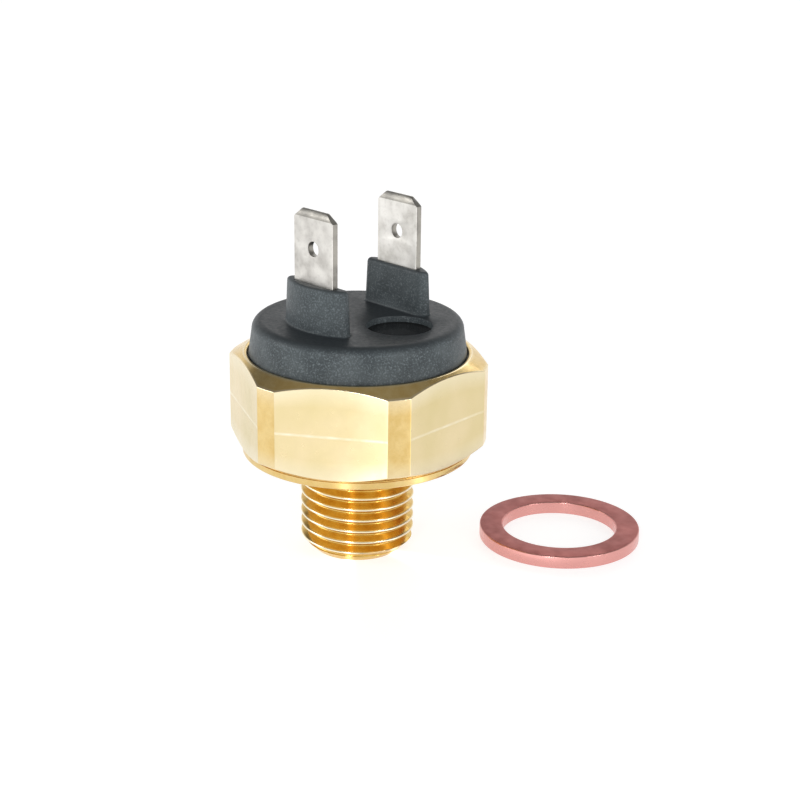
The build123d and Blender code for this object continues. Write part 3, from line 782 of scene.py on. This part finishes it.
def build_head():
    bm = bmesh.new()
    steps = 240
    wall = [(ROOM_RADIUS, 8.1), (11.95, 8.1), (11.95, 9.0), (12.8, 9.0), (12.8, FLANGE_TOP),
            (12.38, FLANGE_TOP), (12.38, FLANGE_TOP + 0.38), (12.44, FLANGE_TOP + 0.47)]
    start = FLANGE_TOP + 0.55
    straight_end = HEAD_TOP - HEAD_EDGE
    for i in range(7):
        z = start + (straight_end - start) * i / 6
        wall.append((HEAD_RADIUS - (z - FLANGE_TOP) * HEAD_DRAFT, z))
    edge_radius = wall[-1][0]
    wall += [(x, z) for x, z in arc(edge_radius - HEAD_EDGE, straight_end, HEAD_EDGE, 6, 90, 10)]
    loops = [loop_at(bm, circle(0, 0, r, steps), z) for r, z in wall]
    for lower, upper in zip(loops, loops[1:]):
        bridge(bm, lower, upper)
    flat_edge = loop_at(bm, circle(0, 0, wall[-1][0] - 0.15, steps), HEAD_TOP)
    bridge(bm, loops[-1], flat_edge)
    top_holes, roof_holes = [], []
    for side in (-1, 1):
        rows = []
        for i in range(6):
            a = radians(90 * i / 5)
            rows.append((BOSS_FOOT * (1 - sin(a)), HEAD_TOP + BOSS_FOOT * (1 - cos(a))))
        wall_top = BOSS_TOP - BOSS_EDGE
        lean_at = lambda z: -(z - HEAD_TOP) * BOSS_DRAFT
        for i in range(1, 9):
            z = HEAD_TOP + BOSS_FOOT + (wall_top - HEAD_TOP - BOSS_FOOT) * i / 8
            rows.append((lean_at(z), z))
        for i in range(1, 7):
            a = radians(90 * i / 6)
            rows.append((lean_at(wall_top) - BOSS_EDGE * (1 - cos(a)), wall_top + BOSS_EDGE * sin(a)))
        boss = [loop_at(bm, boss_outline(outset, side), z) for outset, z in rows]
        for lower, upper in zip(boss, boss[1:]):
            bridge(bm, lower, upper)
        slot_top = loop_at(bm, slot_outline(side), BOSS_TOP)
        slot_roof = loop_at(bm, slot_outline(side), ROOF)
        fill(bm, boss[-1], slot_top)
        bridge(bm, slot_top, slot_roof)
        top_holes.append(boss[0])
        roof_holes.append(slot_roof)
    recess_rows = [(RECESS_RADIUS + 0.12, HEAD_TOP), (RECESS_RADIUS + 0.035, HEAD_TOP - 0.035),
                   (RECESS_RADIUS, HEAD_TOP - 0.12), (RECESS_RADIUS, resin_low.z),
                   (2.32, resin_low.z), (2.32, ROOF)]
    recess = [loop_at(bm, circle(*RECESS, r), z) for r, z in recess_rows]
    for lower, upper in zip(recess, recess[1:]):
        bridge(bm, lower, upper)
    fill(bm, flat_edge, recess[0], *top_holes)
    roof_edge = loop_at(bm, circle(0, 0, ROOM_RADIUS, steps), ROOF)
    bridge(bm, loops[0], roof_edge)
    fill(bm, roof_edge, recess[-1], *roof_holes)
    piece = finish_mesh("black_head", bm, [plastic], "housing", ["terminal_head"])
    mark_edges(piece, head_wear_and_highlight)
    return piece


black_head = build_head()

# %% [markdown]
# ## The tabs
# A tab is stamped from brass strip 0.8 mm thick and then tin plated. The press leaves square sheared
# sides, clipped corners, and a coined bevel that leads it into its connector. It is built as a
# strip of bands with a hole in one of them, and its foot is bent over afterwards by moving points.

# %% Sizes of a tab
TAB_TIP = mount_mm("terminal_left").z
CORNER_WIDE = 1.1
CORNER_HIGH = 1.0
BEVEL_HIGH = 0.85
BEVEL_DEEP = 0.24
HOLE_RADIUS = 0.85
HOLE_FROM_TIP = 4.25
EDGE_SOFT = 0.05
BEND_RADIUS = 0.2             # on the inside of the bend


def tab_half_width(height_from_tip):
    """Half the tab's width, less where its corners are clipped."""
    if height_from_tip >= CORNER_HIGH:
        return TAB_HALF
    return TAB_HALF - CORNER_WIDE * (1 - height_from_tip / CORNER_HIGH)


def tab_half_thickness(height_from_tip):
    """Half the tab's thickness, less on the coined bevel."""
    if height_from_tip >= BEVEL_HIGH:
        return TAB_THICK / 2
    return TAB_THICK / 2 - BEVEL_DEEP * (1 - height_from_tip / BEVEL_HIGH)


print("tab tip at", round(TAB_TIP, 2), "mm")

# %% [markdown]
# Tin dulls in patches. Large soft clouds change how grey and how rough it is, small ones give the
# mottled skin, and the sheared sides are darker and show drag lines from the press.

# %% Tin plating


def tinned(name, light, dark, streak_axis=None):
    finish = Finish(name, metallic=1.0)
    clouds = finish.noise(2.2, 5, 0.65)
    base = finish.ramp(clouds, (0.36, dark), (0.60, light))
    dull = finish.spread(finish.noise(0.55, 4, 0.7), 0, 0.35, 0.5, 0.72)
    finish.colour(finish.mix(dull, base, dark))
    finish.roughness(finish.spread(finish.noise(1.3, 4, 0.6), 0.30, 0.52))
    finish.bump(finish.noise(0.30, 4, 0.6), 0.012, 0.45)
    if streak_axis:
        drag = finish.noise(0.08, 2, 0.5, finish.stretched(*streak_axis))
        finish.bump(drag, 0.015, 0.6)
    return finish.material


# The two tabs are the same tin: the right tab's copy is painted lighter and the left's darker, painted light
# and shade.
tin_left = tinned("tin_left", (0.74, 0.72, 0.68), (0.48, 0.46, 0.43))
tin_right = tinned("tin_right", (0.84, 0.82, 0.78), (0.58, 0.56, 0.52))
# This darker finish is the sheared sides' own, and on the coined bevel at the tip it is painted shade.
tin_edge = tinned("tin_edge", (0.42, 0.40, 0.36), (0.26, 0.25, 0.23), (1.0, 1.0, 0.06))
print("finishes:", tin_left.name, tin_right.name, tin_edge.name)

# %% Build a tab


def strip_lines(length):
    """Places along the strip, measured from its tip, where it needs a line of points."""
    hole_low, hole_high = HOLE_FROM_TIP + 1.4, HOLE_FROM_TIP - 1.4
    tip = [0.0, 0.05, BEVEL_HIGH, BEVEL_HIGH + 0.04, CORNER_HIGH, 1.6]
    shank = [hole_high, hole_low, 7.0, 10.0, 13.0, 15.2]
    bend = [15.4 + 0.14 * i for i in range(9)]
    return tip + shank + bend + [length]


def bend_point(u, s, d, foot_line, side):
    """Moves a point of the straight strip onto the bent tab.

    u is across, s down from the tip and d out from the middle of the thickness, towards the foot's
    outside. Past foot_line the strip turns through a right angle towards the middle of the head."""
    middle = BEND_RADIUS + TAB_THICK / 2
    turn_length = middle * pi / 2
    if s <= foot_line:
        y, z = TAB_Y + d, TAB_TIP - s
    else:
        turned = min((s - foot_line) / middle, pi / 2)
        beyond = max(0.0, s - foot_line - turn_length)
        centre_y, centre_z = TAB_Y - middle, TAB_TIP - foot_line
        y = centre_y + (middle + d) * cos(turned) - beyond * sin(turned)
        z = centre_z - (middle + d) * sin(turned) - beyond * cos(turned)
    return (side * u, side * y, z)


def build_tab(name, node, side, tin_face):
    low, high = box_mm(node)
    foot_reach = TAB_Y + TAB_THICK / 2 - (high.y - low.y)
    middle = BEND_RADIUS + TAB_THICK / 2
    foot_line = TAB_TIP - (low.z + TAB_THICK + BEND_RADIUS)
    length = foot_line + middle * pi / 2 + (TAB_Y - middle) - foot_reach
    lines = strip_lines(length)
    bm = bmesh.new()
    skins = {}
    for face_sign in (-1, 1):
        grid = []
        for s in lines:
            w = tab_half_width(s) - (0.03 if s == 0 else 0)
            t = tab_half_thickness(s) - (0.04 if s == 0 else 0)
            flat_w = w - EDGE_SOFT * 1.3
            row = []
            for u, lower in ((-w, EDGE_SOFT), (-flat_w, 0), (flat_w, 0), (w, EDGE_SOFT)):
                row.append(bm.verts.new(bend_point(u, s, face_sign * (t - lower), foot_line, side)))
            grid.append(row)
        skins[face_sign] = grid
        for k in range(len(lines) - 1):
            has_hole = lines[k] < HOLE_FROM_TIP < lines[k + 1]
            for c in range(3):
                corners = (grid[k][c], grid[k][c + 1], grid[k + 1][c + 1], grid[k + 1][c])
                if not (has_hole and c == 1):
                    face = bm.faces.new(corners)
                    # Faces on the coined bevel take the darker edge finish: painted shade.
                    face.material_index = 1 if lines[k + 1] <= BEVEL_HIGH else 0
    hole_loops = {1: [], -1: []}
    for face_sign in (1, -1):
        for grow, sink in ((EDGE_SOFT, 0), (EDGE_SOFT * 0.3, EDGE_SOFT * 0.3), (0, EDGE_SOFT)):
            depth = face_sign * (TAB_THICK / 2 - sink)
            ring = [bm.verts.new(bend_point(x, HOLE_FROM_TIP - y, depth, foot_line, side))
                    for x, y in circle(0, 0, HOLE_RADIUS + grow, 48)]
            hole_loops[face_sign].append(ring)
    front, back = hole_loops[1], hole_loops[-1]
    k = [i for i in range(len(lines) - 1) if lines[i] < HOLE_FROM_TIP < lines[i + 1]][0]
    for face_sign, rings in ((1, front), (-1, back)):
        grid = skins[face_sign]
        fill(bm, [grid[k][1], grid[k][2], grid[k + 1][2], grid[k + 1][1]], rings[0])
        bridge(bm, rings[0], rings[1])
        bridge(bm, rings[1], rings[2])
    bridge(bm, front[2], back[2], material=1)
    top, under = skins[1], skins[-1]
    for k in range(len(lines) - 1):
        for c in (0, 3):
            face = bm.faces.new((top[k][c], top[k + 1][c], under[k + 1][c], under[k][c]))
            face.material_index = 1
    for k in (0, len(lines) - 1):
        for c in range(3):
            face = bm.faces.new((top[k][c], top[k][c + 1], under[k][c + 1], under[k][c]))
            face.material_index = 1
    return finish_mesh(name, bm, [tin_face, tin_edge], "housing", [node])


# Each tab gets its own lit or shaded copy of the tin: painted light.
left_tab = build_tab("left_tab", "terminal_blade_left", -1, tin_left)
right_tab = build_tab("right_tab", "terminal_blade_right", 1, tin_right)

# %% [markdown]
# ## The resin in the recess
# Once the switch is set, a drop of black resin locks the screw below it. It flows level, creeps a
# little way up the wall, and dries glossy. That curved edge is what catches the light, so it is
# worth a few rings of points.

# %% Resin


def resin_black():
    finish = Finish("resin_black")
    cloud = finish.noise(1.8, 3)
    finish.colour(finish.ramp(cloud, (0.3, (0.006, 0.006, 0.006)), (0.7, (0.016, 0.017, 0.018))))
    finish.shader.inputs["Specular IOR Level"].default_value = 0.3
    finish.roughness(finish.spread(finish.noise(0.8, 3), 0.08, 0.22))
    finish.bump(finish.noise(1.6, 2), 0.03, 0.35)
    return finish.material


def build_resin():
    bm = bmesh.new()
    reach = RECESS_RADIUS - 0.01
    level = resin_high.z - 0.10
    rows = [(reach, resin_low.z + 0.01)]
    for i in range(9):
        t = i / 8
        rows.append((reach - 0.9 * t, level + (resin_high.z - level) * (1 - t) ** 3))
    rows += [(1.6, level - 0.02), (0.6, level - 0.025)]
    loops = [loop_at(bm, circle(*RECESS, r), z) for r, z in rows]
    for lower, upper in zip(loops, loops[1:]):
        bridge(bm, lower, upper)
    fill(bm, loops[-1])
    fill(bm, loops[0])
    return finish_mesh("resin_seal", bm, [resin_black()], "housing", ["screw_seal"])


resin_seal = build_resin()

# %% [markdown]
# ## The copper washer
# A stamped ring of soft copper. The punch rounds one edge and drags the other, and handling leaves the flat
# faces dull and reddish. The edges are painted brighter, partly wear and partly a painted highlight. A sweep
# of a small rounded section makes it.

# %% Copper


def dull_copper():
    finish = Finish("dull_copper", metallic=1.0)
    cloud = finish.noise(5.0, 4, 0.6)
    base = finish.ramp(cloud, (0.35, (0.30, 0.085, 0.075)), (0.65, (0.40, 0.125, 0.11)))
    # Brighter, glossier edges: wear and a painted highlight.
    bright = finish.spread(finish.mark("edge"), 0, 1, 0.1, 0.9)
    finish.colour(finish.mix(bright, base, (0.75, 0.36, 0.33)))
    uneven = finish.spread(finish.noise(1.2, 4), 0.42, 0.56)
    finish.roughness(finish.maths("SUBTRACT", uneven, finish.maths("MULTIPLY", bright, 0.2)))
    finish.bump(finish.noise(0.12, 3, 0.6), 0.006, 0.5)
    return finish.material


def build_washer():
    centre = ((washer_low.x + washer_high.x) / 2, (washer_low.y + washer_high.y) / 2)
    outer = (washer_high.x - washer_low.x) / 2
    inner = mounts["washer_bore"]["dims"]["r_mm"]
    low, high = washer_low.z, washer_high.z
    soft = 0.16
    section = arc(outer - soft, low + soft, soft, -90, 0, 5)
    section += arc(outer - soft, high - soft, soft, 0, 90, 5)
    section += arc(inner + soft, high - soft, soft, 90, 180, 5)
    section += arc(inner + soft, low + soft, soft, 180, 270, 5)
    bm = bmesh.new()
    angles = [2 * pi * i / 240 for i in range(240)]
    ring_mesh(bm, angles, lambda a: section, centre)
    piece = finish_mesh("copper_washer", bm, [dull_copper()], "sealing_washer", ["sealing_washer"])

    def wear_and_highlight(x, y, z):
        out = hypot(x - centre[0], y - centre[1])
        return 1 - min(outer - out, out - inner) / (soft * 1.2)

    mark_edges(piece, wear_and_highlight)
    return piece


copper_washer = build_washer()

# %% [markdown]
# ## The pieces inside
# The moving parts are closed in, and the engineering model already has their real shapes, so they
# keep them and only get a finish. One recipe with a few settings covers pressed steel, bronze
# strip, silver, rubber, ceramic and the brown insulating plate.

# %% Finishes for the inner pieces


def inner_finish(name, dark, light, metallic, rough, grain_mm, relief_mm):
    """Two shades in soft clouds, uneven gloss and a fine relief."""
    finish = Finish(name, metallic)
    base = finish.ramp(finish.noise(grain_mm * 6, 4), (0.35, dark), (0.65, light))
    worn = finish.spread(finish.noise(grain_mm * 2, 5, 0.7), 0, 0.4, 0.55, 0.8)
    finish.colour(finish.mix(worn, base, dark))
    finish.roughness(finish.spread(finish.noise(grain_mm * 3, 3), rough - 0.07, rough + 0.07))
    finish.bump(finish.noise(grain_mm, 3), relief_mm, 0.5)
    return finish.material


INNER = {
    "plain_steel": ((0.42, 0.42, 0.41), (0.62, 0.62, 0.60), 1.0, 0.34, 0.2, 0.006),
    "spring_steel": ((0.26, 0.28, 0.31), (0.42, 0.43, 0.45), 1.0, 0.26, 0.2, 0.004),
    "bronze_leaf": ((0.50, 0.27, 0.12), (0.74, 0.44, 0.22), 1.0, 0.28, 0.2, 0.004),
    "silver": ((0.70, 0.69, 0.66), (0.90, 0.89, 0.86), 1.0, 0.22, 0.15, 0.003),
    "rivet_brass": ((0.60, 0.42, 0.16), (0.82, 0.62, 0.30), 1.0, 0.28, 0.2, 0.005),
    "ceramic_pin": ((0.74, 0.71, 0.64), (0.88, 0.86, 0.80), 0.0, 0.35, 0.2, 0.004),
    "guide_plastic": ((0.16, 0.07, 0.035), (0.30, 0.15, 0.08), 0.0, 0.55, 0.25, 0.01),
    "seal_rubber": ((0.010, 0.010, 0.011), (0.026, 0.026, 0.028), 0.0, 0.62, 0.3, 0.012),
}
inner_materials = {name: inner_finish(name, *settings) for name, settings in INNER.items()}
slot_of = {part["node"]: part["material_slot"] for part in frame["record"]["subparts"]}
for node, piece in frame["nodes"].items():
    if slot_of[node] in inner_materials:
        piece.data.materials.clear()
        piece.data.materials.append(inner_materials[slot_of[node]])
print("inner pieces finished:", sum(slot_of[n] in inner_materials for n in frame["nodes"]))

# %% [markdown]
# ## The table
# A plain white light table, large enough to have no edge in view. The flats lean neither up nor
# down, so from above they mirror the table and nothing else. It glows a little more along three
# bearings, which are degrees from the X axis. They lift one flat above its neighbours and put soft
# upright streaks on the thread. It isn't part of the object.

# %% Floor
TABLE_GLOW = 0.74
TABLE_POOLS = ((-72.5, 0.08, 14.0), (-53.5, 1.1, 260.0), (11.5, 1.1, 160.0))


def white_table():
    finish = Finish("white_table")
    finish.colour(finish.ramp(finish.noise(60.0, 2), (0.3, (0.40, 0.40, 0.40)), (0.7, (0.42, 0.42, 0.42))))
    finish.roughness(finish.spread(finish.noise(20.0, 2), 0.55, 0.65))
    finish.bump(finish.noise(0.4, 2), 0.005, 0.2)
    parts = finish.node("ShaderNodeSeparateXYZ")
    level = finish.node("ShaderNodeVectorMath", operation="MULTIPLY")
    level.inputs[1].default_value = (1, 1, 0)
    finish.link(finish.place, level.inputs[0])
    outward = finish.node("ShaderNodeVectorMath", operation="NORMALIZE")
    finish.link(level.outputs[0], outward.inputs[0])
    finish.link(outward.outputs[0], parts.inputs[0])
    glow = TABLE_GLOW
    for bearing, strength, narrow in TABLE_POOLS:
        along_x = finish.maths("MULTIPLY", parts.outputs[0], cos(radians(bearing)))
        along_y = finish.maths("MULTIPLY", parts.outputs[1], sin(radians(bearing)))
        ahead = finish.maths("MAXIMUM", finish.maths("ADD", along_x, along_y), 0.0)
        near = finish.maths("POWER", ahead, narrow)
        glow = finish.maths("ADD", finish.maths("MULTIPLY", near, strength), glow)
    finish.put(glow, finish.shader.inputs["Emission Strength"])
    finish.shader.inputs["Emission Color"].default_value = (1, 1, 1, 1)
    return finish.material


TABLE_HALF = 1.5
table_mesh = bpy.data.meshes.new("table")
bm = bmesh.new()
corners = ((-1, -1), (1, -1), (1, 1), (-1, 1))
bm.faces.new([bm.verts.new((x * TABLE_HALF, y * TABLE_HALF, STUB_END * MM)) for x, y in corners])
bm.to_mesh(table_mesh)
bm.free()
table_mesh.materials.append(white_table())
table = bpy.data.objects.new("table", table_mesh)
bpy.context.scene.collection.objects.link(table)
print("table at", round(STUB_END * MM, 4), "m")
